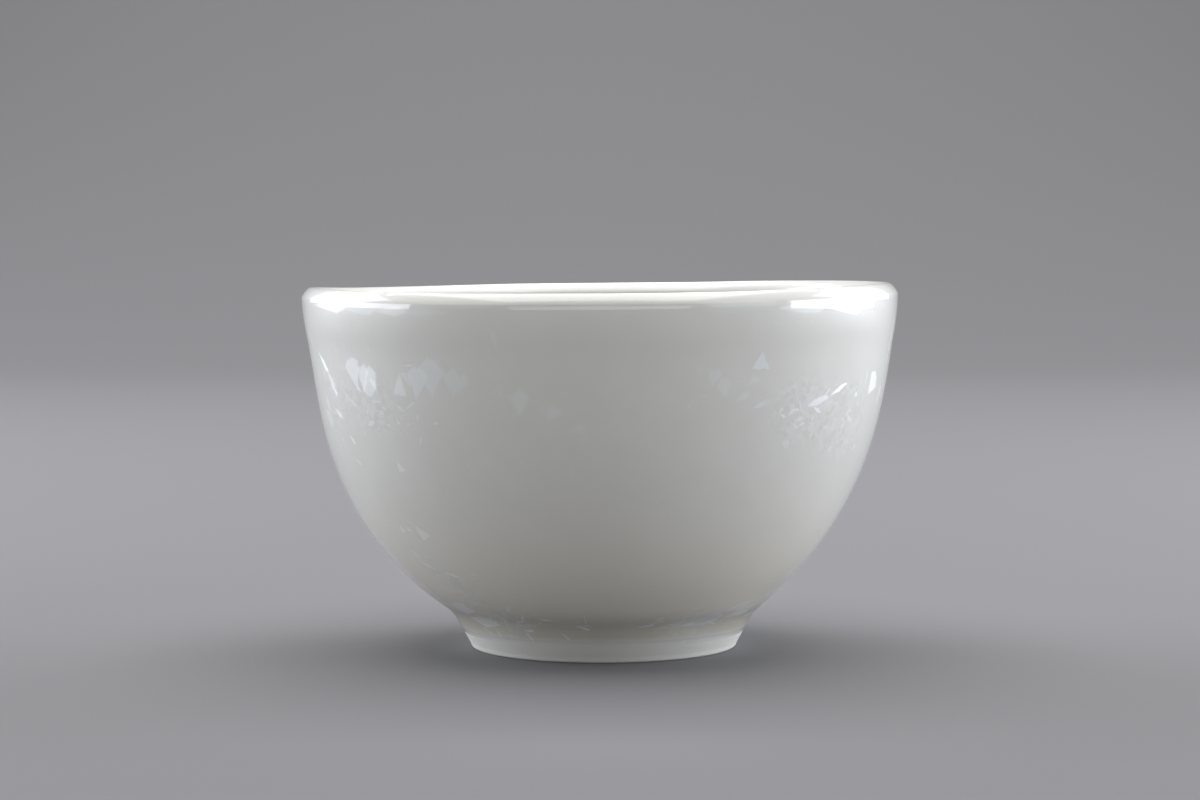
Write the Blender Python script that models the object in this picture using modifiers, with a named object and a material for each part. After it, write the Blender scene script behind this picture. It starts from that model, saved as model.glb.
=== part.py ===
"""A hand-thrown porcelain teacup, one fired piece.

A wide, round-bellied bowl with a thick rounded lip stands on a low foot ring.
The foot ring is trimmed a little off centre, and the lip rises and falls
slightly, as it does on a cup that was turned by hand.
Metres, +Z up. The origin is below the middle of the cup, on the table.
"""

import math

import bpy
from mathutils import Vector

MM = 0.001

# Outside of the bowl: one curve from the foot up to the lip's widest point.
# An angle is the curve's slope above the horizontal, a pull its handle's share of the rise.
RIM_RADIUS = 49.0 * MM
CUP_HEIGHT = 59.5 * MM
BELLY_LOWER_ANGLE = math.radians(38.0)
BELLY_LOWER_PULL = 0.47
BELLY_UPPER_ANGLE = math.radians(84.0)
BELLY_UPPER_PULL = 0.38

# Lip: an uneven round with its crest near the middle of the wall
LIP_WALL = 3.0 * MM
CREST_INSET = 1.6 * MM
LIP_OUTER_DROP = 2.1 * MM
LIP_INNER_DROP = 1.8 * MM

# Inside of the bowl: the wall thickens downwards to where the round well begins
BASE_WALL = 4.0 * MM
WELL_EDGE_HEIGHT = 15.0 * MM
FLOOR_THICKNESS = 4.3 * MM

# Foot ring, with a shallow recess under the bowl
FOOT_HEIGHT = 6.0 * MM
FOOT_TOP_RADIUS = 25.15 * MM
FOOT_EDGE_RADIUS = 22.1 * MM
FOOT_RING_WIDTH = 3.6 * MM
FOOT_ARRIS = 0.6 * MM
RECESS_DEPTH = 3.9 * MM
RECESS_DOME = 0.4 * MM
RECESS_DRAFT = 0.8 * MM
RECESS_FILLET = 1.2 * MM

# What the hand left uneven: the foot's shift and the height over which it fades,
# the lip's tilt, and two waves along the lip as (height, number of crests, phase)
FOOT_SHIFT = 0.5 * MM
FOOT_SHIFT_FADE = 5.0 * MM
LIP_TILT = 0.38 * MM
LIP_WAVES = ((0.10 * MM, 3, 0.6), (0.06 * MM, 5, 2.1))
LIP_FADE = 30.0 * MM

# How finely the curves are divided
TURN_STEPS = 72
BELLY_STEPS = 16
LIP_STEPS = 5
WALL_STEPS = 12
WELL_STEPS = 7
RECESS_STEPS = 4
FILLET_STEPS = 4
ARRIS_STEPS = 3
FOOT_SIDE_STEPS = 3

# Vertices on the axis are joined within this distance, and a crease is sharper than this angle
AXIS_MERGE = 0.05 * MM
CREASE_ANGLE = math.radians(50)

GLAZE_COLOUR = (0.80, 0.80, 0.77, 1.0)
GLAZE_ROUGHNESS = 0.12


def arc(centre, reach, rise, start, end, steps):
    """Points along an ellipse about centre, from the start angle to the end angle."""
    angles = [start + (end - start) * step / steps for step in range(steps + 1)]
    return [centre + Vector((reach * math.cos(a), rise * math.sin(a))) for a in angles]


def belly_handles():
    """The four control points of the bowl's outside curve, as (radius, height)."""
    bottom = Vector((FOOT_TOP_RADIUS, FOOT_HEIGHT))
    top = Vector((RIM_RADIUS, CUP_HEIGHT - LIP_OUTER_DROP))
    rise = top.y - bottom.y
    leaving = Vector((math.cos(BELLY_LOWER_ANGLE), math.sin(BELLY_LOWER_ANGLE)))
    arriving = Vector((math.cos(BELLY_UPPER_ANGLE), math.sin(BELLY_UPPER_ANGLE)))
    return (
        bottom,
        bottom + leaving * BELLY_LOWER_PULL * rise,
        top - arriving * BELLY_UPPER_PULL * rise,
        top,
    )


def belly_point(share):
    """The point at a share of the outside curve, 0 at the foot and 1 at the lip."""
    a, b, c, d = belly_handles()
    rest = 1 - share
    return a * rest**3 + b * 3 * rest**2 * share + c * 3 * rest * share**2 + d * share**3


def belly_slope(share):
    """The outside curve's direction at a share of it, of length 1."""
    a, b, c, d = belly_handles()
    rest = 1 - share
    change = (b - a) * rest**2 + (c - b) * 2 * rest * share + (d - c) * share**2
    return change.normalized()


def belly_share_at(height):
    """The share of the outside curve at which it reaches a height, found by halving."""
    low, high = 0.0, 1.0
    while high - low > 1e-6:
        middle = (low + high) / 2
        if belly_point(middle).y < height:
            low = middle
        else:
            high = middle
    return low


def lip_curve():
    """Over the lip, from its widest point outside to where the inside wall begins."""
    crest_radius = RIM_RADIUS - CREST_INSET
    quarter = math.pi / 2
    outer_centre = Vector((crest_radius, CUP_HEIGHT - LIP_OUTER_DROP))
    inner_centre = Vector((crest_radius, CUP_HEIGHT - LIP_INNER_DROP))
    outside = arc(outer_centre, CREST_INSET, LIP_OUTER_DROP, 0, quarter, LIP_STEPS)
    inner_reach = LIP_WALL - CREST_INSET
    inside = arc(inner_centre, inner_reach, LIP_INNER_DROP, quarter, 2 * quarter, LIP_STEPS)
    return outside + inside[1:]


def inside_wall():
    """The inside wall from below the lip to the well: the outside moved in by the wall."""
    well_share = belly_share_at(WELL_EDGE_HEIGHT)
    points = []
    for step in range(1, WALL_STEPS + 1):
        way_down = step / WALL_STEPS
        share = 1 - (1 - well_share) * way_down
        thickness = LIP_WALL + (BASE_WALL - LIP_WALL) * way_down
        slope = belly_slope(share)
        inwards = Vector((-slope.y, slope.x))
        points.append(belly_point(share) + inwards * thickness)
    return points


def well_curve(edge):
    """The round bottom of the inside, from the wall's lower end to the middle of the floor."""
    floor = RECESS_DEPTH + FLOOR_THICKNESS
    slope = belly_slope(belly_share_at(WELL_EDGE_HEIGHT))
    corner = Vector((edge.x - (edge.y - floor) * slope.x / slope.y, floor))
    middle = Vector((0, floor))
    points = []
    for step in range(1, WELL_STEPS + 1):
        share = step / WELL_STEPS
        rest = 1 - share
        points.append(edge * rest**2 + corner * 2 * rest * share + middle * share**2)
    return points


def recess_curve():
    """The recess under the bowl, from its middle out to where the ring's inner side begins."""
    contact_inside = FOOT_EDGE_RADIUS - FOOT_ARRIS - FOOT_RING_WIDTH
    shoulder = contact_inside - FOOT_ARRIS - RECESS_DRAFT - RECESS_FILLET
    ceiling = []
    for step in range(RECESS_STEPS + 1):
        share = step / RECESS_STEPS
        ceiling.append(Vector((shoulder * share, RECESS_DEPTH - RECESS_DOME * share**2)))
    centre = Vector((shoulder, RECESS_DEPTH - RECESS_DOME - RECESS_FILLET))
    return ceiling + arc(centre, RECESS_FILLET, RECESS_FILLET, math.pi / 2, 0, FILLET_STEPS)[1:]


def ring_curve():
    """The foot ring from its inner side across the flat contact face and up its outer side."""
    outer_centre = Vector((FOOT_EDGE_RADIUS - FOOT_ARRIS, FOOT_ARRIS))
    inner_centre = outer_centre - Vector((FOOT_RING_WIDTH, 0))
    left, down, right = math.pi, 1.5 * math.pi, 2 * math.pi
    inner = arc(inner_centre, FOOT_ARRIS, FOOT_ARRIS, left, down, ARRIS_STEPS)
    outer = arc(outer_centre, FOOT_ARRIS, FOOT_ARRIS, down, right, ARRIS_STEPS)
    top = Vector((FOOT_TOP_RADIUS, FOOT_HEIGHT))
    side = [outer[-1].lerp(top, step / FOOT_SIDE_STEPS) for step in range(1, FOOT_SIDE_STEPS + 1)]
    return inner + outer + side


def cup_profile():
    """The cross-section as (radius, height): inside floor, over the lip, down the outside, recess."""
    bowl = [belly_point(step / BELLY_STEPS) for step in range(1, BELLY_STEPS)]
    wall = inside_wall()
    going_up = recess_curve() + ring_curve() + bowl
    going_in = lip_curve() + wall + well_curve(wall[-1])
    return list(reversed(going_up + going_in))


def smooth_step(share):
    """0 up to a share of 0, 1 from a share of 1, and a smooth rise between."""
    share = max(0.0, min(1.0, share))
    return share * share * (3 - 2 * share)


def leave_uneven(mesh):
    """Shifts the foot sideways, and tilts and waves the lip, both fading out within the bowl."""
    for vertex in mesh.vertices:
        place = vertex.co
        angle = math.atan2(place.y, place.x)
        lip_share = smooth_step(1 - (CUP_HEIGHT - place.z) / LIP_FADE)
        foot_share = smooth_step(1 - (place.z - FOOT_HEIGHT) / FOOT_SHIFT_FADE)
        lift = LIP_TILT * place.x / RIM_RADIUS
        for height, crests, phase in LIP_WAVES:
            lift += height * math.sin(crests * angle + phase)
        place.z += lift * lip_share
        place.x += FOOT_SHIFT * foot_share
    mesh.update()


def glazed_porcelain():
    """White porcelain under a clear, glossy glaze."""
    material = bpy.data.materials.new("glazed_porcelain")
    material.use_nodes = True
    shader = material.node_tree.nodes["Principled BSDF"]
    shader.inputs["Base Color"].default_value = GLAZE_COLOUR
    shader.inputs["Roughness"].default_value = GLAZE_ROUGHNESS
    shader.inputs["Metallic"].default_value = 0.0
    return material


def turned_mesh(collection):
    """Turns the profile about +Z with a Screw modifier and returns the result as a mesh."""
    outline = cup_profile()
    profile = bpy.data.meshes.new("cup_profile")
    points = [(point.x, 0, point.y) for point in outline]
    edges = [(place, place + 1) for place in range(len(points) - 1)]
    profile.from_pydata(points, edges, [])
    turning = bpy.data.objects.new("cup_turning", profile)
    collection.objects.link(turning)
    screw = turning.modifiers.new("turn", "SCREW")
    screw.axis = "Z"
    screw.steps = TURN_STEPS
    screw.render_steps = TURN_STEPS
    screw.use_merge_vertices = True
    screw.merge_threshold = AXIS_MERGE
    evaluated = turning.evaluated_get(bpy.context.evaluated_depsgraph_get())
    turned = bpy.data.meshes.new_from_object(evaluated)
    bpy.data.objects.remove(turning)
    bpy.data.meshes.remove(profile)
    return turned


def make_teacup(collection):
    """The whole cup as one object."""
    mesh = turned_mesh(collection)
    mesh.name = "teacup"
    leave_uneven(mesh)
    mesh.shade_smooth()
    mesh.set_sharp_from_angle(angle=CREASE_ANGLE)
    mesh.materials.append(glazed_porcelain())
    collection.objects.link(bpy.data.objects.new("teacup", mesh))


def main():
    for old in list(bpy.data.objects):
        bpy.data.objects.remove(old)
    collection = bpy.data.collections.new("porcelain teacup")
    bpy.context.scene.collection.children.link(collection)
    make_teacup(collection)


main()
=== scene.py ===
# A hand-thrown porcelain teacup in a crystalline glaze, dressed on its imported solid.
# Lengths in the dictionaries are in millimetres and angles in degrees; meshes are in metres.
import math
import random

import bmesh
import bpy
from mathutils import Matrix, Vector, kdtree, noise


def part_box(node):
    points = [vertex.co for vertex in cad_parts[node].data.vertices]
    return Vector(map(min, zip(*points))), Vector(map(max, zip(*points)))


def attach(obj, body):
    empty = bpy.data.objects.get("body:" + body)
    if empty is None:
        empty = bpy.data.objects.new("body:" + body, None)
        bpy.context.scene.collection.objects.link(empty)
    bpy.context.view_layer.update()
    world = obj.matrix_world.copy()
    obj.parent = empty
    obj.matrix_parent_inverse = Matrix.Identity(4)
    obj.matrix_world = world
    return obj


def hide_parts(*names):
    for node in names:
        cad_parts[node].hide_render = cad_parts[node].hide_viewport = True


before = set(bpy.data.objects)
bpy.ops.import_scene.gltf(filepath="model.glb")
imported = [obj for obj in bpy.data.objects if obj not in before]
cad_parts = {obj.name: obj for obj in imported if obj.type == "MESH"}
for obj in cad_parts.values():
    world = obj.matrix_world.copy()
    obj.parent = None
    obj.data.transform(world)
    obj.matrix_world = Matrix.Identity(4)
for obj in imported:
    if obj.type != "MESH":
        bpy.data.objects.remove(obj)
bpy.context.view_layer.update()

mm = 0.001

# The turned form: the solid's, divided more finely and following the real outline more closely
lipSpare = 0.12  # the widest point stands this far outside the solid's
cupForm = {
    "lipRadius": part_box("teacup")[1].x / mm + lipSpare,
    "height": 59.5,
    "bellyLowerAngle": 36.9,
    "bellyLowerPull": 0.56,
    "wallLean": 10.6,
    "bellyUpperPull": 0.21,
    "wallTop": 51.5,
    "uprightHeight": 57.8,
    "lipWall": 3.0,
    "crestInset": 1.4,
    "lipSquareness": 1.3,
    "baseWall": 4.0,
    "wellEdgeHeight": 15.0,
    "innerFloor": 8.2,
    "footHeight": 6.0,
    "footTopRadius": 25.15,
    "footEdgeRadius": 22.1,
    "footRingWidth": 3.6,
    "footArris": 0.6,
    "coveReach": 1.6,
    "coveRise": 0.62,
    "glazeLine": 3.3,
    "glazeStep": 0.05,
    "glazeEdgeBelow": 0.05,
    "glazeEdgeAbove": 0.35,
    "glazeLineSpare": 0.02,
    "bareReach": 6.0,
    "insideFade": 2.0,
    "recessDepth": 3.9,
    "recessDome": 0.4,
    "recessDraft": 0.8,
    "recessFillet": 1.2,
    "turnSteps": 320,
}

# How many steps divide each stretch of the outline
divided = {
    "recess": 14,
    "recessFillet": 6,
    "arris": 5,
    "contact": 6,
    "bareFoot": 5,
    "glazeEdge": 4,
    "glazedFoot": 3,
    "cove": 8,
    "belly": 90,
    "lipTurn": 8,
    "lipOutside": 14,
    "lipInside": 11,
    "innerWall": 44,
    "well": 30,
}
mergeWithin = 1e-6  # metres
shareWithin = 1e-6

# What the hand and the kiln left uneven
uneven = {
    "footShift": 0.5,
    "footShiftFade": 5.0,
    "lipWaves": ((0.39, 1, 2.05), (0.26, 2, 1.19), (0.09, 3, -2.6), (0.04, 4, 0.8), (0.07, 5, -2.06)),
    "lipFade": 30.0,
    "leftHollow": 0.36,
    "leftHollowMiddle": 34.0,
    "leftHollowHeight": 54.0,
    "glazeSwell": 0.05,
    "glazeSwellSize": 14.0,
}


def srgb(hexValue):  # "#rrggbb" to linear colour
    channels = [int(hexValue[i : i + 2], 16) / 255 for i in (1, 3, 5)]
    return [c / 12.92 if c <= 0.04045 else ((c + 0.055) / 1.055) ** 2.4 for c in channels] + [1]


def smoothStep(share):
    share = max(0.0, min(1.0, share))
    return share * share * (3 - 2 * share)


def arc(centre, reach, rise, start, end, steps, squareness=2.0):  # angles in degrees, both ends included
    points = []
    for step in range(steps + 1):
        angle = math.radians(start + (end - start) * step / steps)
        right, up = math.cos(angle), math.sin(angle)
        right = math.copysign(abs(right) ** (2 / squareness), right)
        up = math.copysign(abs(up) ** (2 / squareness), up)
        points.append(centre + Vector((reach * right, rise * up)))
    return points


def bend(start, corner, end, steps):  # a quadratic curve, without its start
    points = []
    for step in range(1, steps + 1):
        share = step / steps
        points.append(start * (1 - share) ** 2 + corner * 2 * share * (1 - share) + end * share**2)
    return points


def bellyHandles():
    form = cupForm
    bottom = Vector((form["footTopRadius"], form["footHeight"]))
    leanIn = math.tan(math.radians(form["wallLean"])) * (form["uprightHeight"] - form["wallTop"]) / 2
    top = Vector((form["lipRadius"] - leanIn, form["wallTop"]))
    rise = top.y - bottom.y
    lower, upper = math.radians(form["bellyLowerAngle"]), math.radians(90 - form["wallLean"])
    leaving = Vector((math.cos(lower), math.sin(lower))) * form["bellyLowerPull"] * rise
    arriving = Vector((math.cos(upper), math.sin(upper))) * form["bellyUpperPull"] * rise
    return bottom, bottom + leaving, top - arriving, top


def bellyPoint(share):
    a, b, c, d = bellyHandles()
    rest = 1 - share
    return a * rest**3 + b * 3 * rest**2 * share + c * 3 * rest * share**2 + d * share**3


def bellySlope(share):
    a, b, c, d = bellyHandles()
    rest = 1 - share
    return ((b - a) * rest**2 + (c - b) * 2 * rest * share + (d - c) * share**2).normalized()


def bellyShareAt(height):
    low, high = 0.0, 1.0
    while high - low > shareWithin:
        middle = (low + high) / 2
        low, high = (middle, high) if bellyPoint(middle).y < height else (low, middle)
    return low


def underside():  # from the middle of the recess to the foot ring's outer arris
    form = cupForm
    contactOut = form["footEdgeRadius"] - form["footArris"]
    contactIn = contactOut - form["footRingWidth"]
    shoulder = contactIn - form["footArris"] - form["recessDraft"] - form["recessFillet"]
    points = []
    for step in range(divided["recess"] + 1):
        share = step / divided["recess"]
        points.append(Vector((shoulder * share, form["recessDepth"] - form["recessDome"] * share**2)))
    fillet = form["recessFillet"]
    centre = Vector((shoulder, form["recessDepth"] - form["recessDome"] - fillet))
    points += arc(centre, fillet, fillet, 90, 0, divided["recessFillet"])[1:]
    arris = form["footArris"]
    points += arc(Vector((contactIn, arris)), arris, arris, 180, 270, divided["arris"])
    inner, outer = Vector((contactIn, 0)), Vector((contactOut, 0))
    points += [inner.lerp(outer, step / divided["contact"]) for step in range(1, divided["contact"])]
    points += arc(Vector((contactOut, arris)), arris, arris, 270, 360, divided["arris"])
    return points


def footSide():  # up the foot's side: bare, then over the glaze's edge, then glazed to the cove
    form = cupForm
    start = Vector((form["footEdgeRadius"], form["footArris"]))
    top = Vector((form["footTopRadius"], form["footHeight"]))
    along = (top - start).normalized()
    outwards = Vector((along.y, -along.x))
    line = start + along * (form["glazeLine"] - start.y) / along.y
    inset = outwards * form["glazeStep"]
    bareTop = line - inset
    points = [start.lerp(bareTop, step / divided["bareFoot"]) for step in range(1, divided["bareFoot"] + 1)]
    edgeCorner = bareTop + along * form["glazeEdgeBelow"]
    edgeTop = line + along * form["glazeEdgeAbove"]
    points += bend(bareTop, edgeCorner, edgeTop, divided["glazeEdge"])
    coveStart = top - along * form["coveReach"]
    glazedSteps = divided["glazedFoot"]
    points += [points[-1].lerp(coveStart, step / glazedSteps) for step in range(1, glazedSteps + 1)]
    coveShare = bellyShareAt(form["footHeight"] + form["coveReach"] * form["coveRise"])
    points += bend(coveStart, top, bellyPoint(coveShare), divided["cove"])
    return points, coveShare


def cupOutline():  # (radius, height) from the recess's middle, up the outside, and down inside to the floor
    form = cupForm
    foot, coveShare = footSide()
    outside = []
    for step in range(1, divided["belly"] + 1):
        outside.append(bellyPoint(coveShare + (1 - coveShare) * step / divided["belly"]))
    upright = Vector((form["lipRadius"], form["uprightHeight"]))
    turnCorner = Vector((form["lipRadius"], (form["wallTop"] + form["uprightHeight"]) / 2))
    turn = bend(outside[-1], turnCorner, upright, divided["lipTurn"])
    crestCentre = upright - Vector((form["crestInset"], 0))
    rise = form["height"] - form["uprightHeight"]
    square = form["lipSquareness"]
    crestOutset = form["lipWall"] - form["crestInset"]
    lip = arc(crestCentre, form["crestInset"], rise, 0, 90, divided["lipOutside"], square)[1:]
    lip += arc(crestCentre, crestOutset, rise, 90, 180, divided["lipInside"], square)[1:]
    inside = [point - Vector((form["lipWall"], 0)) for point in reversed(turn[:-1])]
    wellShare = bellyShareAt(form["wellEdgeHeight"])
    for step in range(1, divided["innerWall"] + 1):
        wayDown = step / divided["innerWall"]
        share = 1 - (1 - wellShare) * wayDown
        thickness = form["lipWall"] + (form["baseWall"] - form["lipWall"]) * wayDown
        slope = bellySlope(share)
        inside.append(bellyPoint(share) + Vector((-slope.y, slope.x)) * thickness)
    slope = bellySlope(wellShare)
    floor = form["innerFloor"]
    corner = Vector((inside[-1].x - (inside[-1].y - floor) * slope.x / slope.y, floor))
    inside += bend(inside[-1], corner, Vector((0, floor)), divided["well"])
    return underside() + foot + outside + turn + lip + inside


def leaveUneven(vertex):
    place = vertex.co / mm
    angle = math.atan2(place.y, place.x)
    lipShare = smoothStep(1 - (cupForm["height"] - place.z) / uneven["lipFade"])
    footShare = smoothStep(1 - (place.z - cupForm["footHeight"]) / uneven["footShiftFade"])
    lift = sum(height * math.sin(crests * angle + phase) for height, crests, phase in uneven["lipWaves"])
    wayUp = (place.z - uneven["leftHollowMiddle"]) / uneven["leftHollowHeight"]
    leftShare = smoothStep(-place.x / cupForm["lipRadius"])
    hollow = uneven["leftHollow"] * math.sin(2 * math.pi * wayUp) * leftShare
    swell = noise.noise(place / uneven["glazeSwellSize"]) * uneven["glazeSwell"]
    swell *= smoothStep((place.z - cupForm["footHeight"]) / uneven["footShiftFade"])
    place += vertex.normal * swell
    place.z += lift * lipShare
    place.x += uneven["footShift"] * footShare + hollow
    vertex.co = place * mm


def turnOutline(shape, outline):
    # how far inside the bowl each vertex lies, used to paint the inside a little darker as shade
    inward = shape.verts.layers.float.new("inwardShare")
    ring = [shape.verts.new((point.x * mm, 0, point.y * mm)) for point in outline]
    crest = max(range(len(outline)), key=lambda i: outline[i].y)
    for point, vertex in list(zip(outline, ring))[crest:]:
        vertex[inward] = smoothStep((outline[crest].y - point.y) / cupForm["insideFade"])
    edges = [shape.edges.new(pair) for pair in zip(ring, ring[1:])]
    bmesh.ops.spin(
        shape,
        geom=ring + edges,
        cent=(0, 0, 0),
        axis=(0, 0, 1),
        angle=2 * math.pi,
        steps=cupForm["turnSteps"],
        use_merge=True,
        use_duplicate=False,
    )
    bmesh.ops.remove_doubles(shape, verts=shape.verts, dist=mergeWithin)
    bmesh.ops.recalc_face_normals(shape, faces=shape.faces)
    shape.normal_update()


# Zinc silicate crystals in the glaze, and under the lip a row drawn as crystals that is a painted
# reflection. Degrees go round from the front, more to the right.
# Way is how far down from the lip's crest along the surface, below 0 inside the bowl.
# Turn is the way a crystal points: 0 to the right, 90 to the lip. Leaf is 0 for a wedge, 1 for a leaf.
# (degrees, way, turn, length, half width, leaf, strength)
blades = {
    "leftFan": (
        (-53.3, 16.6, 104, 6.4, 2.3, 0.4, 0.6),
        (-51.4, 17, 86, 6.6, 1.9, 0.5, 0.5),
        (-47.2, 16.8, 107, 6.2, 1.8, 0.5, 0.45),
        (-49.4, 17.6, 94, 5.2, 2.0, 0.95, 0.4),
        (-50, 17.7, -4, 3.4, 0.25, 0.8, 0.5),
        (-40.3, 12.5, -97, 4.6, 1.6, 0.2, 0.5),
        (-38, 15.6, 100, 3.6, 1.5, 0.3, 0.56),
        (-37, 17.6, 78, 6.6, 2.2, 0.5, 0.5),
        (-40.5, 11.9, 4, 3.6, 0.22, 0.5, 0.5),
        (-33, 17.2, 88, 7.6, 2.9, 0.6, 0.38),
        (-28.5, 17, 76, 6.4, 2.8, 0.7, 0.28),
    ),
    "underLeftFan": (
        (-43.5, 17.5, -32, 3.8, 0.35, 0.6, 0.6),
        (-40.5, 19, 29, 3.4, 0.35, 0.6, 0.5),
        (-59, 17, -28, 4.6, 0.45, 0.6, 0.65),
    ),
    "leftEdge": (
        (-77, 5.5, -60, 5.6, 0.6, 0.6, 0.7),
        (-70.5, 10.5, -38, 6, 0.7, 0.6, 0.95),
        (-66.5, 13, -55, 4.6, 1, 0.3, 0.99),
        (-72.5, 20, -35, 5, 1.4, 0.8, 0.5),
        (-65.5, 19.5, -30, 4, 0.6, 0.7, 0.9),
        (-61, 23.5, -40, 3, 0.45, 0.5, 0.9),
    ),
    "leftFleck": ((-45, 27, -70, 2.5, 1, 0, 0.55),),
    "lowLeft": (
        (-52.5, 39, -60, 2, 0.5, 0.6, 0.95),
        (-46.5, 38.5, -58, 3.8, 1.3, 0.35, 0.6),
        (-53, 43.5, -75, 3, 0.5, 0.7, 0.75),
        (-53.5, 46, -30, 4.6, 0.55, 0.7, 0.8),
        (-47, 48, -15, 5, 0.4, 0.7, 0.8),
    ),
    "rightWedge": ((30.8, 9.7, -92, 3.1, 2, 0, 0.8),),
    "rightShards": (
        (49, 17.5, 21, 5.8, 0.5, 0.7, 0.8),
        (42.5, 18.8, 12, 6.4, 0.75, 0.8, 0.75),
        (44, 18.5, -28, 3.6, 0.4, 0.6, 0.8),
        (47.5, 17.8, 50, 2.6, 0.3, 0.6, 0.8),
        (38, 20.2, 38, 2.4, 0.5, 0.6, 0.6),
        (40, 20.8, 5, 2.4, 0.5, 0.7, 0.65),
        (41.5, 19.5, 105, 2.4, 0.4, 0.6, 0.6),
        (37.5, 24, -25, 2.6, 0.8, 0.6, 0.5),
        (25.5, 17.5, 27, 3.6, 0.8, 0.7, 0.42),
        (29.5, 18.5, 14, 2.8, 0.5, 0.8, 0.5),
        (58.5, 17.8, 20, 1.3, 0.45, 0.8, 0.9),
        (17, 11, -50, 4.2, 1, 0.8, 0.12),
    ),
    "middle": (
        (-15, 19.8, 90, 6.2, 2.3, 0.6, 0.26),
        (-10, 20.5, 60, 5, 2, 0.7, 0.2),
        (-17.5, 17, 125, 4, 1.5, 0.5, 0.15),
        (-7, 22, 20, 5, 1.3, 0.8, 0.13),
        (-2, 24, 110, 5, 1.6, 0.7, 0.08),
    ),
    "rightMiddle": (
        (20.5, 15.8, 75, 4.8, 1.7, 0.5, 0.32),
        (24, 17.2, 105, 4.2, 1.5, 0.6, 0.32),
        (27.5, 15.4, 40, 4, 1.3, 0.5, 0.28),
        (30.5, 18, 8, 3, 0.7, 0.7, 0.42),
    ),
    "rightEdge": (
        (65, 18, 52, 4.8, 2.2, 0.55, 0.75),
        (62.4, 17.7, 84, 4.6, 0.4, 0.6, 0.99),
        (76, 14, 84, 9.5, 0.9, 0.8, 0.99),
        (72, 20, 60, 4.5, 1.1, 0.8, 0.7),
        (56, 20, -40, 3.6, 0.5, 0.6, 0.6),
    ),
    "paintedReflectionUnderLip": (  # painted reflection: long faint crystals in a row that stand for the pale band the side lights throw under the lip
        (-69, 3.1, 0, 14, 1.15, 0.4, 0.5),
        (-58, 3.2, 0, 13, 1.1, 0.5, 0.4),
        (-46, 3.4, 0, 9, 1, 0.6, 0.3),
        (-38, 3.4, -2, 10, 0.9, 0.9, 0.14),
        (17, 3.2, 0, 14, 0.9, 0.9, 0.14),
        (32, 3.3, 0, 13, 1.1, 0.7, 0.42),
        (43, 3.4, -2, 13, 1.5, 0.3, 0.65),
    ),
    "aboveFoot": (
        (-62, 57.5, -8, 9, 1.9, 0.8, 0.55),
        (-58, 60.4, -12, 9, 1.5, 0.8, 0.5),
        (44, 58.2, 14, 8, 1.5, 0.8, 0.35),
        (16, 61.6, 6, 9, 0.9, 0.8, 0.3),
        (28, 61.2, 8, 10, 1.6, 0.7, 0.6),
        (46, 60.2, 14, 9, 1.7, 0.7, 0.5),
    ),
}

# Where smaller crystals gather: how many, where, how wide the gathering is, and what they are like
growths = {
    "underLeftFan": {
        "count": 60, "at": (-48, 19.4), "spread": (5.5, 1.4), "length": (0.8, 2.6),
        "wide": 0.16, "turn": (-20, 60), "strength": (0.3, 0.7),
    },
    "leftBand": {
        "count": 24, "at": (-67, 19), "spread": (5, 4), "length": (1.5, 4),
        "wide": 0.12, "turn": (-45, 25), "strength": (0.3, 0.7),
    },
    "highLeft": {
        "count": 12, "at": (-56, 6.5), "spread": (7, 1.6), "length": (2, 4.5),
        "wide": 0.07, "turn": (-55, 15), "strength": (0.15, 0.35),
    },
    "lowLeft": {
        "count": 10, "at": (-52, 42), "spread": (4, 3), "length": (1.5, 3.5),
        "wide": 0.12, "turn": (-40, 25), "strength": (0.3, 0.5),
    },
    "lowMiddle": {
        "count": 26, "at": (-45, 50), "spread": (4, 2.2), "length": (1.5, 4),
        "wide": 0.1, "turn": (-20, 15), "strength": (0.25, 0.5),
    },
    "underLipRight": {
        "count": 10, "at": (40, 5), "spread": (6, 0.6), "length": (1.5, 4),
        "wide": 0.12, "turn": (10, 20), "strength": (0.12, 0.3),
    },
    "rightVeil": {
        "count": 14, "at": (24, 16.5), "spread": (4.5, 1.8), "length": (1.2, 3),
        "wide": 0.2, "turn": (0, 60), "strength": (0.1, 0.28),
    },
    "rightCluster": {
        "count": 24, "at": (39.8, 19.6), "spread": (2.3, 1.1), "length": (0.8, 2.2),
        "wide": 0.2, "turn": (20, 60), "strength": (0.4, 0.8),
    },
    "rightColumn": {
        "count": 16, "at": (57, 20.4), "spread": (1.5, 1.4), "length": (0.8, 2),
        "wide": 0.25, "turn": (80, 50), "strength": (0.45, 0.85),
    },
    "rightBand": {
        "count": 18, "at": (48, 20.5), "spread": (7, 2), "length": (1, 2.8),
        "wide": 0.15, "turn": (15, 45), "strength": (0.2, 0.5),
    },
    "rightFlank": {
        "count": 22, "at": (60, 23), "spread": (6, 3.4), "length": (1, 2.6),
        "wide": 0.18, "turn": (75, 40), "strength": (0.2, 0.5),
    },
    "middleVeil": {
        "count": 14, "at": (-12, 19), "spread": (11, 5), "length": (2.5, 6),
        "wide": 0.3, "turn": (80, 40), "strength": (0.05, 0.13),
    },
    "footLeft": {
        "count": 64, "at": (-36, 59.8), "spread": (10, 1.7), "length": (1.2, 4.5),
        "wide": 0.1, "turn": (-25, 40), "strength": (0.35, 0.75),
    },
    "footRight": {
        "count": 64, "at": (33, 60.6), "spread": (13, 1.4), "length": (1.5, 6),
        "wide": 0.08, "turn": (15, 18), "strength": (0.35, 0.75),
    },
}

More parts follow.
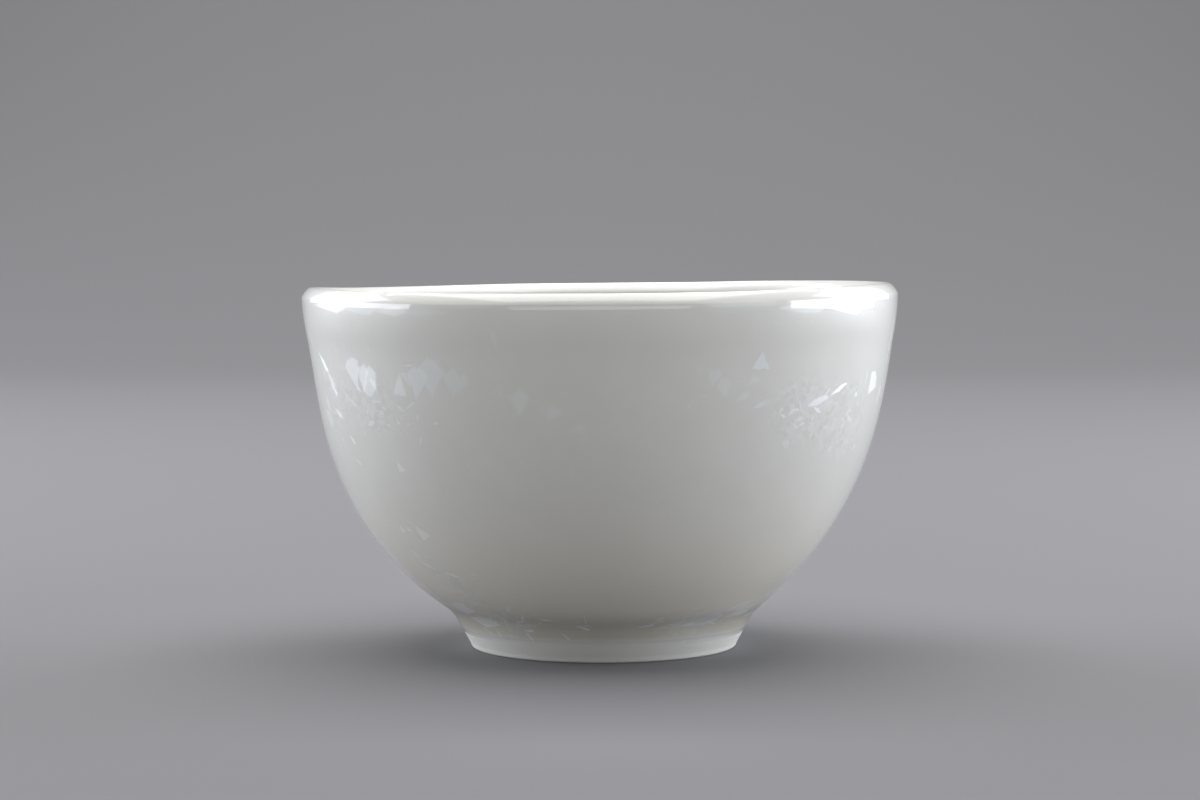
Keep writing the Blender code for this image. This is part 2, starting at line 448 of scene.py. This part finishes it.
# The unseen sides carry gatherings of the same kinds
scatter = {
    "seed": 41,
    "back": {
        "gatherings": 11, "degrees": (95, 265), "way": (6, 58),
        "count": (14, 30), "strength": (0.25, 0.8),
    },
    "inside": {
        "gatherings": 10, "degrees": (0, 360), "way": (-62, -9),
        "count": (14, 30), "strength": (0.25, 0.8),
    },
    "footAround": {
        "gatherings": 8, "degrees": (70, 290), "way": (57, 63),
        "count": (16, 28), "strength": (0.3, 0.6),
    },
    "length": (1.0, 6.0),
    "wide": 0.17,
    "spread": (1.8, 4.0),
    "levelSpread": 1.6,
    "footSpread": 1.0,
    "turnSpread": 45,
}

crystalLayers = 5  # six still render, but with seven the glaze's shader is too large and comes out black
crystalMargin = 0.35
crystalSearch = 1.5  # how far past a crystal's own size its faces are looked for
crystalFacing = 0.4  # least cosine between a face's normal and the crystal's
crystalWidths = (0.4, 1.4)  # how much narrower or wider than usual a crystal may be
crystalNumbers = 997  # whole numbers that tell the crystals apart
fullStrength = 0.99

# How far a gathering's crowding is felt past its own spread
crowd = {"spreadSpare": 1.5, "weightSpare": 0.2, "reach": 2.6}


def listGatherings(draw):
    gatherings = list(growths.values())
    for name in ("back", "inside", "footAround"):
        area = scatter[name]
        for number in range(area["gatherings"]):
            spread = draw.uniform(*scatter["spread"])
            gatherings.append({
                "count": draw.randint(*area["count"]),
                "at": (draw.uniform(*area["degrees"]), draw.uniform(*area["way"])),
                "spread": (
                    spread * scatter["levelSpread"],
                    scatter["footSpread"] if name == "footAround" else spread,
                ),
                "length": scatter["length"],
                "wide": scatter["wide"],
                "turn": (draw.uniform(0, 360), scatter["turnSpread"]),
                "strength": area["strength"],
            })
    return gatherings


def listCrystals(gatherings, draw):
    crystals = [crystal for group in blades.values() for crystal in group]
    for gathering in gatherings:
        for number in range(gathering["count"]):
            length = draw.uniform(*gathering["length"])
            degrees = draw.gauss(gathering["at"][0], gathering["spread"][0])
            way = draw.gauss(gathering["at"][1], gathering["spread"][1])
            turn = draw.gauss(*gathering["turn"])
            halfWidth = length * gathering["wide"] * draw.uniform(*crystalWidths)
            leaf = draw.random()
            strength = draw.uniform(*gathering["strength"])
            crystals.append((degrees, way, turn, length, halfWidth, leaf, strength))
    return crystals


def surfaceFrame(outline, ways, degrees, way):  # a place on the turned form, with right, up and out
    index = next((i for i in range(len(ways) - 1) if ways[i + 1] <= way), len(ways) - 2)
    share = (ways[index] - way) / (ways[index] - ways[index + 1])
    spot = outline[index].lerp(outline[index + 1], share)
    along = (outline[index + 1] - outline[index]).normalized()
    if way < 0:
        along = -along
    sine, cosine = math.sin(math.radians(degrees)), math.cos(math.radians(degrees))
    place = Vector((spot.x * sine, -spot.x * cosine, spot.y))
    right = Vector((cosine, sine, 0))
    up = Vector((along.x * sine, -along.x * cosine, along.y))
    out = right.cross(up)
    return place, right, up, -out if way < 0 else out


def layVeil(shape, places, gatherings):  # how closely the crystals crowd, kept on each vertex
    store = shape.verts.layers.float["crystalVeil"]
    nearby = kdtree.KDTree(len(shape.verts))
    shape.verts.ensure_lookup_table()
    for vertex in shape.verts:
        nearby.insert(vertex.co / mm, vertex.index)
    nearby.balance()
    for (place, out), gathering in zip(places, gatherings):
        around = gathering["spread"][0] * math.radians(place.xy.length)
        spread = crowd["spreadSpare"] + max(around, gathering["spread"][1])
        weight = min(1.0, gathering["strength"][1] + crowd["weightSpare"])
        for centre, index, distance in nearby.find_range(place, crowd["reach"] * spread):
            vertex = shape.verts[index]
            if vertex.normal.dot(out) > 0:
                vertex[store] = min(1.0, vertex[store] + weight * math.exp(-0.5 * (distance / spread) ** 2))


def growCrystals(shape, outline):  # each crystal's own coordinates go onto the faces that it crosses
    for layer in range(crystalLayers):
        shape.loops.layers.float_vector.new(f"crystalPlace{layer}")
        shape.loops.layers.float_vector.new(f"crystalForm{layer}")
    shape.verts.layers.float.new("crystalVeil")
    stores = shape.loops.layers.float_vector
    ways = [0.0]
    for start, end in zip(outline, outline[1:]):
        ways.append(ways[-1] + (end - start).length)
    crestWay = ways[max(range(len(outline)), key=lambda i: outline[i].y)]
    ways = [crestWay - way for way in ways]
    shape.faces.ensure_lookup_table()
    nearby = kdtree.KDTree(len(shape.faces))
    for face in shape.faces:
        nearby.insert(face.calc_center_median() / mm, face.index)
    nearby.balance()
    draw = random.Random(scatter["seed"])
    gatherings = listGatherings(draw)
    frames = [surfaceFrame(outline, ways, *gathering["at"]) for gathering in gatherings]
    layVeil(shape, [(place, out) for place, right, up, out in frames], gatherings)
    crystals = listCrystals(gatherings, draw)
    taken = [set() for layer in range(crystalLayers)]
    dropped = 0
    for number, (degrees, way, turn, length, halfWidth, leaf, strength) in enumerate(crystals):
        place, right, up, out = surfaceFrame(outline, ways, degrees, way)
        sine, cosine = math.sin(math.radians(turn)), math.cos(math.radians(turn))
        along, across = right * cosine + up * sine, up * cosine - right * sine
        reach = length / 2 + halfWidth + crystalSearch
        claimed = []
        for centre, index, distance in nearby.find_range(place + along * length / 2, reach):
            face = shape.faces[index]
            if face.normal.dot(out) < crystalFacing:
                continue
            corners = [loop.vert.co / mm - place for loop in face.loops]
            alongs = [corner.dot(along) for corner in corners]
            acrosses = [corner.dot(across) for corner in corners]
            if min(alongs) > length + crystalMargin or max(alongs) < -crystalMargin:
                continue
            if min(acrosses) > halfWidth + crystalMargin or max(acrosses) < -halfWidth - crystalMargin:
                continue
            claimed.append((face, alongs, acrosses))
        free = [n for n in range(crystalLayers) if all(item[0].index not in taken[n] for item in claimed)]
        if not free:
            dropped += 1
            continue
        placeStore, formStore = stores[f"crystalPlace{free[0]}"], stores[f"crystalForm{free[0]}"]
        # The key's whole part tells crystals apart, and the rest of it is the strength
        key = number % crystalNumbers + min(strength, fullStrength)
        for face, alongs, acrosses in claimed:
            taken[free[0]].add(face.index)
            for loop, first, second in zip(face.loops, alongs, acrosses):
                loop[placeStore] = (first, second, key)
                loop[formStore] = (length, halfWidth, leaf)
    print("crystals:", len(crystals) - dropped, "grown,", dropped, "left out where too many overlap")


def makeCup():
    outline = cupOutline()
    shape = bmesh.new()
    turnOutline(shape, outline)
    growCrystals(shape, outline)
    for vertex in shape.verts:
        leaveUneven(vertex)
    for face in shape.faces:
        face.smooth = True
        height = max(vertex.co.z for vertex in face.verts) / mm
        centre = face.calc_center_median() / mm
        belowGlaze = height < cupForm["glazeLine"] + cupForm["glazeLineSpare"]
        bare = belowGlaze and centre.xy.length > cupForm["footEdgeRadius"] - cupForm["bareReach"]
        face.material_index = 1 if bare else 0
    mesh = bpy.data.meshes.new("teacupGlazed")
    shape.to_mesh(mesh)
    shape.free()
    piece = bpy.data.objects.new("teacupGlazed", mesh)
    bpy.context.scene.collection.objects.link(piece)
    return piece


def addNode(tree, kind, inputs=(), **settings):  # inputs by order or by name, as sockets, nodes or values
    node = tree.nodes.new("ShaderNode" + kind)
    for name, value in settings.items():
        setattr(node, name, value)
    for key, value in inputs.items() if isinstance(inputs, dict) else enumerate(inputs):
        if isinstance(value, bpy.types.Node):
            value = value.outputs[0]
        if isinstance(value, bpy.types.NodeSocket):
            tree.links.new(value, node.inputs[key])
        else:
            node.inputs[key].default_value = value
    return node


def newMaterial(name):
    material = bpy.data.materials.new(name)
    material.use_nodes = True
    return material, material.node_tree, material.node_tree.nodes["Principled BSDF"]


glaze = {
    "ground": "#e5e4df",
    "groundShade": "#dfded7",
    "pooled": "#e6e2d6",
    "pooledFrom": 34.0,
    "pooledTo": 6.0,
    # painted shade: the cove above the foot is darker where shade falls under the belly
    "cove": "#c8c4b7",
    "coveFrom": 9.5,
    "coveTo": 5.5,
    # painted shade: the bowl's inside is a little darker than the outside
    "inside": "#d9d8d3",
    "thinned": "#e0dfda",
    "thinnedFrom": 4.6,
    "thinnedTo": 3.3,
    "mottleSize": 5.0,
    "crystalCool": "#fafbfd",
    "crystalGreen": "#f5fcfa",
    "crystalSheen": 0.32,
    "groundRoughness": 0.34,
    "crystalRoughness": 0.45,
    "crystalTilt": 0.22,
    "coatRoughness": 0.03,
    "edgeSoftness": 0.16,
    "edgeWander": 0.24,
    "edgeWanderSize": 0.7,
    "fibreWidth": 0.35,
    "fibreDepth": 0.01,
    "fibreContrast": 0.8,
    "fibreBase": 0.6,
    "fanLeast": 0.15,
    "seedStep": 7.3,
    "raggedFront": 0.14,
    "raggedCoarseness": 0.33,
    "frontSlant": 0.7,
    "leastLength": 0.01,
    "leafOpening": -0.7,
    "leafClosing": 0.5,
    "wedgeClosing": 0.06,
    "looseness": 2.0,
    "faintPower": 3.0,
    "facetSize": 0.9,
    "facetWarp": 0.9,
    "facetFrom": 0.55,
    "facetTo": 1.0,
    "facetShow": 0.32,
    "facetSheen": 0.08,
    "facetShade": "#d2d3ce",
    "facetLight": "#f3f5f4",
}


def crystalLayer(tree, layer, wander):  # how far this layer's crystals show, their fibres and their tint
    place = addNode(tree, "Attribute", attribute_name=f"crystalPlace{layer}").outputs["Vector"]
    form = addNode(tree, "Attribute", attribute_name=f"crystalForm{layer}").outputs["Vector"]
    along, across, key = addNode(tree, "SeparateXYZ", [place]).outputs
    length, halfWidth, leaf = addNode(tree, "SeparateXYZ", [form]).outputs
    strength = addNode(tree, "Math", [key], operation="FRACT")
    seed = addNode(tree, "Math", [key], operation="FLOOR")
    chances = addNode(tree, "TexWhiteNoise", {"W": seed}, noise_dimensions="1D")
    chance = chances.outputs["Value"]

    # The outline: it opens straight from its seed, runs level and closes to its tip, more to one side
    someLength = addNode(tree, "Math", [length, glaze["leastLength"]], operation="MAXIMUM")
    share = addNode(tree, "Math", [along, someLength], operation="DIVIDE", use_clamp=True)
    openOver = addNode(tree, "Math", [leaf, glaze["leafOpening"], 1.0], operation="MULTIPLY_ADD")
    opened = addNode(tree, "Math", [share, openOver], operation="DIVIDE", use_clamp=True)
    side = addNode(tree, "Math", [across], operation="SIGN")
    centred = addNode(tree, "Math", [chance, -0.5], operation="ADD")
    loose = addNode(tree, "Math", [leaf, glaze["looseness"]], operation="MULTIPLY", use_clamp=True)
    lopsided = addNode(tree, "Math", [centred, loose], operation="MULTIPLY")
    sideShare = addNode(tree, "Math", [side, lopsided, 1.0], operation="MULTIPLY_ADD")
    closing = [leaf, glaze["leafClosing"], glaze["wedgeClosing"]]
    closeOver = addNode(tree, "Math", closing, operation="MULTIPLY_ADD")
    closeHere = addNode(tree, "Math", [closeOver, sideShare], operation="MULTIPLY")
    left = addNode(tree, "Math", [1.0, share], operation="SUBTRACT")
    closed = addNode(tree, "Math", [left, closeHere], operation="DIVIDE", use_clamp=True)
    bulge = addNode(tree, "Math", [opened, closed], operation="MINIMUM")
    halfHere = addNode(tree, "Math", [halfWidth, bulge], operation="MULTIPLY")
    away = addNode(tree, "Math", [across], operation="ABSOLUTE")
    sideRoom = addNode(tree, "Math", [halfHere, away], operation="SUBTRACT")

    # Fibres fan out from the seed, and the front runs at a slant with a ragged edge
    fanWidth = addNode(tree, "Math", [bulge, glaze["fanLeast"]], operation="ADD")
    fan = addNode(tree, "Math", [across, fanWidth], operation="DIVIDE")
    shift = addNode(tree, "Math", [seed, glaze["seedStep"]], operation="MULTIPLY")
    fine, coarse = 1 / glaze["fibreWidth"], glaze["raggedCoarseness"] / glaze["fibreWidth"]
    fineLine = addNode(tree, "Math", [fan, fine, shift], operation="MULTIPLY_ADD")
    coarseLine = addNode(tree, "Math", [fan, coarse, shift], operation="MULTIPLY_ADD")
    fibre = addNode(tree, "TexNoise", {"W": fineLine, "Scale": 1.0, "Detail": 2.0}, noise_dimensions="1D")
    raggedInputs = {"W": coarseLine, "Scale": 1.0, "Detail": 0.0}
    ragged = addNode(tree, "TexNoise", raggedInputs, noise_dimensions="1D")
    shorter = addNode(tree, "Math", [ragged, -glaze["raggedFront"], 1.0], operation="MULTIPLY_ADD")
    front = addNode(tree, "Math", [length, shorter], operation="MULTIPLY")
    slant = addNode(tree, "Math", [lopsided, 2 * glaze["frontSlant"]], operation="MULTIPLY")
    slanted = addNode(tree, "Math", [slant, across, front], operation="MULTIPLY_ADD")
    drop = addNode(tree, "Math", [slant, halfWidth], operation="MULTIPLY")
    dropSize = addNode(tree, "Math", [drop], operation="ABSOLUTE")
    frontAt = addNode(tree, "Math", [slanted, dropSize], operation="SUBTRACT")
    frontRoom = addNode(tree, "Math", [frontAt, along], operation="SUBTRACT")

    room = addNode(tree, "Math", [sideRoom, frontRoom], operation="MINIMUM")
    wandering = addNode(tree, "Math", [room, wander], operation="ADD")
    faint = addNode(tree, "Math", [1.0, strength], operation="SUBTRACT")
    fainter = addNode(tree, "Math", [faint, glaze["faintPower"]], operation="POWER")
    softening = [halfWidth, fainter, glaze["edgeSoftness"]]
    softness = addNode(tree, "Math", softening, operation="MULTIPLY_ADD")
    shown = addNode(
        tree,
        "MapRange",
        {"Value": wandering, "From Min": 0.0, "From Max": softness},
        interpolation_type="SMOOTHSTEP",
    )
    lighting = [fibre, glaze["fibreContrast"], glaze["fibreBase"]]
    fibreLight = addNode(tree, "Math", lighting, operation="MULTIPLY_ADD")
    shining = addNode(tree, "Math", [strength, fibreLight], operation="MULTIPLY")
    mask = addNode(tree, "Math", [shown, shining], operation="MULTIPLY", use_clamp=True)
    lean = addNode(tree, "VectorMath", [chances.outputs["Color"], (0.5, 0.5, 0.5)], operation="SUBTRACT")
    tilt = addNode(tree, "VectorMath", {0: lean, "Scale": mask.outputs[0]}, operation="SCALE")
    return mask, fibre, chance, tilt


# Porcelain in a glossy zinc crystal glaze: a clear wet-looking surface, and under it
# a soft white ground with flat bluish blades that light up when lit from the side
def glazeMaterial():
    material, tree, shader = newMaterial("crystallineGlaze")
    where = addNode(tree, "TexCoord").outputs["Object"]
    height = addNode(tree, "SeparateXYZ", [where]).outputs["Z"]
    mottleScale = 1 / (glaze["mottleSize"] * mm)
    mottle = addNode(tree, "TexNoise", {"Vector": where, "Scale": mottleScale, "Detail": 3.0})
    ground = addNode(
        tree,
        "Mix",
        {0: mottle, 6: srgb(glaze["ground"]), 7: srgb(glaze["groundShade"])},
        data_type="RGBA",
    ).outputs[2]
    pooled = addNode(
        tree,
        "MapRange",
        {"Value": height, "From Min": glaze["pooledFrom"] * mm, "From Max": glaze["pooledTo"] * mm},
        interpolation_type="SMOOTHSTEP",
    )
    layered = {0: pooled, 6: ground, 7: srgb(glaze["pooled"])}
    colour = addNode(tree, "Mix", layered, data_type="RGBA").outputs[2]
    # Painted shade: the glaze darkens into the cove above the foot, where shade falls under the belly
    coveShadeShare = addNode(
        tree,
        "MapRange",
        {"Value": height, "From Min": glaze["coveFrom"] * mm, "From Max": glaze["coveTo"] * mm},
        interpolation_type="SMOOTHSTEP",
    )
    layered = {0: coveShadeShare, 6: colour, 7: srgb(glaze["cove"])}
    colour = addNode(tree, "Mix", layered, data_type="RGBA").outputs[2]
    thin = addNode(
        tree,
        "MapRange",
        {"Value": height, "From Min": glaze["thinnedFrom"] * mm, "From Max": glaze["thinnedTo"] * mm},
        interpolation_type="SMOOTHSTEP",
    )
    layered = {0: thin, 6: colour, 7: srgb(glaze["thinned"])}
    colour = addNode(tree, "Mix", layered, data_type="RGBA").outputs[2]
    # Painted shade: inside the bowl the same glaze is painted a little darker
    inward = addNode(tree, "Attribute", attribute_name="inwardShare").outputs["Fac"]
    layered = {0: inward, 6: colour, 7: srgb(glaze["inside"])}
    colour = addNode(tree, "Mix", layered, data_type="RGBA").outputs[2]

    # Between the blades, where they crowd, the ground breaks into small facets
    crowding = addNode(tree, "Attribute", attribute_name="crystalVeil").outputs["Fac"]
    veil = addNode(
        tree,
        "MapRange",
        {"Value": crowding, "From Min": glaze["facetFrom"], "From Max": glaze["facetTo"]},
        interpolation_type="SMOOTHSTEP",
    )
    warpScale = 1 / (glaze["edgeWanderSize"] * mm)
    warp = addNode(tree, "TexNoise", {"Vector": where, "Scale": warpScale, "Detail": 1.0})
    warped = addNode(
        tree,
        "VectorMath",
        {0: warp.outputs["Color"], 1: (glaze["facetWarp"] * mm,) * 3, 2: where},
        operation="MULTIPLY_ADD",
    )
    facet = addNode(tree, "TexVoronoi", {"Vector": warped, "Scale": 1 / (glaze["facetSize"] * mm)})
    facetChance = addNode(tree, "SeparateColor", [facet.outputs["Color"]])
    facetColour = addNode(
        tree,
        "Mix",
        {0: facetChance.outputs[0], 6: srgb(glaze["facetShade"]), 7: srgb(glaze["facetLight"])},
        data_type="RGBA",
    ).outputs[2]
    veilShare = addNode(tree, "Math", [veil, glaze["facetShow"]], operation="MULTIPLY", use_clamp=True)
    colour = addNode(tree, "Mix", {0: veilShare, 6: colour, 7: facetColour}, data_type="RGBA").outputs[2]
    facetShine = addNode(tree, "Math", [veil, facetChance.outputs[1]], operation="MULTIPLY", use_clamp=True)
    facetSheen = addNode(tree, "Math", [facetShine, glaze["facetSheen"]], operation="MULTIPLY")

    wandering = [warp, glaze["edgeWander"], -glaze["edgeWander"] / 2]
    wander = addNode(tree, "Math", wandering, operation="MULTIPLY_ADD")
    total, relief = 0.0, 0.0
    tilted = addNode(tree, "NewGeometry").outputs["Normal"]
    for layer in range(crystalLayers):
        mask, fibre, chance, tilt = crystalLayer(tree, layer, wander)
        tilted = addNode(
            tree,
            "VectorMath",
            [tilt, (glaze["crystalTilt"],) * 3, tilted],
            operation="MULTIPLY_ADD",
        ).outputs[0]
        crystal = addNode(
            tree,
            "Mix",
            {0: chance, 6: srgb(glaze["crystalCool"]), 7: srgb(glaze["crystalGreen"])},
            data_type="RGBA",
        ).outputs[2]
        colour = addNode(tree, "Mix", {0: mask, 6: colour, 7: crystal}, data_type="RGBA").outputs[2]
        ridge = addNode(tree, "Math", [mask, fibre], operation="MULTIPLY")
        total = addNode(tree, "Math", [mask, total], operation="MAXIMUM")
        relief = addNode(tree, "Math", [ridge, relief], operation="MAXIMUM")
    sheen = addNode(
        tree,
        "Math",
        [total, glaze["crystalSheen"], facetSheen],
        operation="MULTIPLY_ADD",
        use_clamp=True,
    )
    rough = addNode(
        tree,
        "MapRange",
        {"Value": total, "To Min": glaze["groundRoughness"], "To Max": glaze["crystalRoughness"]},
    )
    tilted = addNode(tree, "VectorMath", [tilted], operation="NORMALIZE")
    bump = addNode(
        tree,
        "Bump",
        {"Height": relief, "Strength": 1.0, "Distance": glaze["fibreDepth"] * mm, "Normal": tilted},
    )
    tree.links.new(colour, shader.inputs["Base Color"])
    tree.links.new(sheen.outputs[0], shader.inputs["Metallic"])
    tree.links.new(rough.outputs[0], shader.inputs["Roughness"])
    tree.links.new(bump.outputs[0], shader.inputs["Normal"])
    shader.inputs["Coat Weight"].default_value = 1.0
    shader.inputs["Coat Roughness"].default_value = glaze["coatRoughness"]
    return material


bareFoot = {
    "body": "#e2e1dc",
    "bodyShade": "#d6d4ce",
    "lineSpacing": 0.45,
    "lineDepth": 0.02,
    "grain": 0.3,
    "roughness": 0.62,
}


# Bare porcelain, turned on the wheel and rubbed smooth: matte, with fine level lines
def bareMaterial():
    material, tree, shader = newMaterial("bareTurnedPorcelain")
    where = addNode(tree, "TexCoord").outputs["Object"]
    height = addNode(tree, "SeparateXYZ", [where]).outputs["Z"]
    line = addNode(tree, "Math", [height, bareFoot["lineSpacing"] * mm], operation="DIVIDE")
    lines = addNode(tree, "TexNoise", {"W": line, "Scale": 1.0, "Detail": 2.0}, noise_dimensions="1D")
    grainScale = 1 / (bareFoot["grain"] * mm)
    grain = addNode(tree, "TexNoise", {"Vector": where, "Scale": grainScale, "Detail": 2.0})
    both = addNode(tree, "Math", [lines, grain], operation="ADD")
    half = addNode(tree, "Math", [both, 0.5], operation="MULTIPLY")
    shades = {0: half, 6: srgb(bareFoot["body"]), 7: srgb(bareFoot["bodyShade"])}
    colour = addNode(tree, "Mix", shades, data_type="RGBA")
    bump = addNode(tree, "Bump", {"Height": half, "Strength": 1.0, "Distance": bareFoot["lineDepth"] * mm})
    tree.links.new(colour.outputs[2], shader.inputs["Base Color"])
    tree.links.new(bump.outputs[0], shader.inputs["Normal"])
    shader.inputs["Roughness"].default_value = bareFoot["roughness"]
    return material


# Matte paper, level under the cup and swept up behind it; lengths in metres
paper = {
    "colour": "#737274",
    "roughness": 0.9,
    "halfWidth": 2.5,
    "frontEdge": -2.0,
    "bendStart": 0.9,
    "bendRadius": 0.6,
    "bendSteps": 16,
    "topEdge": 2.5,
}


def makeStage():
    floorMaterial, tree, shader = newMaterial("greyPaper")
    shader.inputs["Base Color"].default_value = srgb(paper["colour"])
    shader.inputs["Roughness"].default_value = paper["roughness"]
    sweep = bmesh.new()
    left, start, radius = -paper["halfWidth"], paper["bendStart"], paper["bendRadius"]
    profile = [Vector((left, paper["frontEdge"], 0)), Vector((left, start, 0))]
    for step in range(1, paper["bendSteps"] + 1):
        angle = math.radians(90 * step / paper["bendSteps"])
        profile.append(Vector((left, start + radius * math.sin(angle), radius - radius * math.cos(angle))))
    profile.append(Vector((left, start + radius, paper["topEdge"])))
    verts = [sweep.verts.new(point) for point in profile]
    edges = [sweep.edges.new(pair) for pair in zip(verts, verts[1:])]
    made = bmesh.ops.extrude_edge_only(sweep, edges=edges)
    moved = [item for item in made["geom"] if isinstance(item, bmesh.types.BMVert)]
    bmesh.ops.translate(sweep, verts=moved, vec=(2 * paper["halfWidth"], 0, 0))
    bmesh.ops.recalc_face_normals(sweep, faces=sweep.faces)
    for face in sweep.faces:
        face.smooth = True
    mesh = bpy.data.meshes.new("paperSweep")
    sweep.to_mesh(mesh)
    sweep.free()
    floor = bpy.data.objects.new("paperSweep", mesh)
    floor.data.materials.append(floorMaterial)
    bpy.context.scene.collection.objects.link(floor)


# Soft boxes round the cup: metres and watts
cupMiddle = (0, 0, 0.04)
surround = {"colour": "#ffffff", "strength": 0.045}
lights = {
    "topBox": {"at": (0.0, 0.05, 0.9), "size": (1.0, 1.0), "power": 9.6, "colour": "#ffffff"},
    "leftBackBox": {"at": (-0.9, 0.65, 0.45), "size": (0.8, 0.9), "power": 8.4, "colour": "#f4f8ff"},
    "leftFrontBox": {"at": (-0.9, -0.65, 0.45), "size": (0.6, 0.9), "power": 0.8, "colour": "#f4f8ff"},
    "leftStrip": {"at": (-0.6, 0.1, 0.12), "size": (0.6, 0.22), "power": 2.15, "colour": "#f4f8ff"},
    "rightBackBox": {"at": (0.9, 0.65, 0.45), "size": (0.8, 0.9), "power": 6.5, "colour": "#f4f8ff"},
    "rightFrontBox": {"at": (0.9, -0.65, 0.45), "size": (0.6, 0.9), "power": 2.4, "colour": "#f4f8ff"},
    "rightStrip": {"at": (0.6, 0.1, 0.12), "size": (0.6, 0.22), "power": 2.9, "colour": "#f4f8ff"},
    "frontStrip": {"at": (0.0, -1.2, 0.1), "size": (1.6, 0.2), "power": 2.0, "colour": "#ffffff"},
    "paperBox": {
        "at": (0.0, 0.75, 1.1), "size": (1.6, 0.4), "power": 12.4,
        "aim": (0.0, 1.45, 0.1), "colour": "#ffffff",
    },
}


def makeLights():
    for name, box in lights.items():
        light = bpy.data.lights.new(name, "AREA")
        light.shape = "RECTANGLE"
        light.size, light.size_y = box["size"]
        light.energy = box["power"]
        light.color = srgb(box["colour"])[:3]
        holder = bpy.data.objects.new(name, light)
        holder.location = box["at"]
        aim = Vector(box.get("aim", cupMiddle)) - holder.location
        holder.rotation_euler = aim.to_track_quat("-Z", "Y").to_euler()
        bpy.context.scene.collection.objects.link(holder)
    world = bpy.data.worlds.new("studio")
    world.use_nodes = True
    background = world.node_tree.nodes["Background"]
    background.inputs["Color"].default_value = srgb(surround["colour"])
    background.inputs["Strength"].default_value = surround["strength"]
    bpy.context.scene.world = world


view = {
    "lens": 90.0,
    "sensor": 36.0,
    "away": 495.7,
    "side": 0.05,
    "height": 69.8,
    "pitch": 3.36,
    "roll": -0.2,
    "clip": (0.01, 50),  # metres
}


def makeCamera():
    camera = bpy.data.cameras.new("camera")
    camera.lens = view["lens"]
    camera.sensor_width = view["sensor"]
    camera.clip_start, camera.clip_end = view["clip"]
    holder = bpy.data.objects.new("camera", camera)
    lookDown = Matrix.Rotation(math.radians(90 - view["pitch"]), 4, "X")
    roll = Matrix.Rotation(math.radians(view["roll"]), 4, "Z")
    place = Vector((view["side"], -view["away"], view["height"])) * mm
    holder.matrix_world = Matrix.Translation(place) @ (lookDown @ roll)
    bpy.context.scene.collection.objects.link(holder)
    bpy.context.scene.camera = holder


cup = makeCup()
cup.data.materials.append(glazeMaterial())
cup.data.materials.append(bareMaterial())
print("cup:", len(cup.data.polygons), "faces, glazed and bare")
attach(cup, "root")
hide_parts("teacup")

makeStage()
makeLights()
makeCamera()
print("studio: paper,", len(lights), "lights and the camera")
bpy.context.scene.view_settings.view_transform = "Standard"
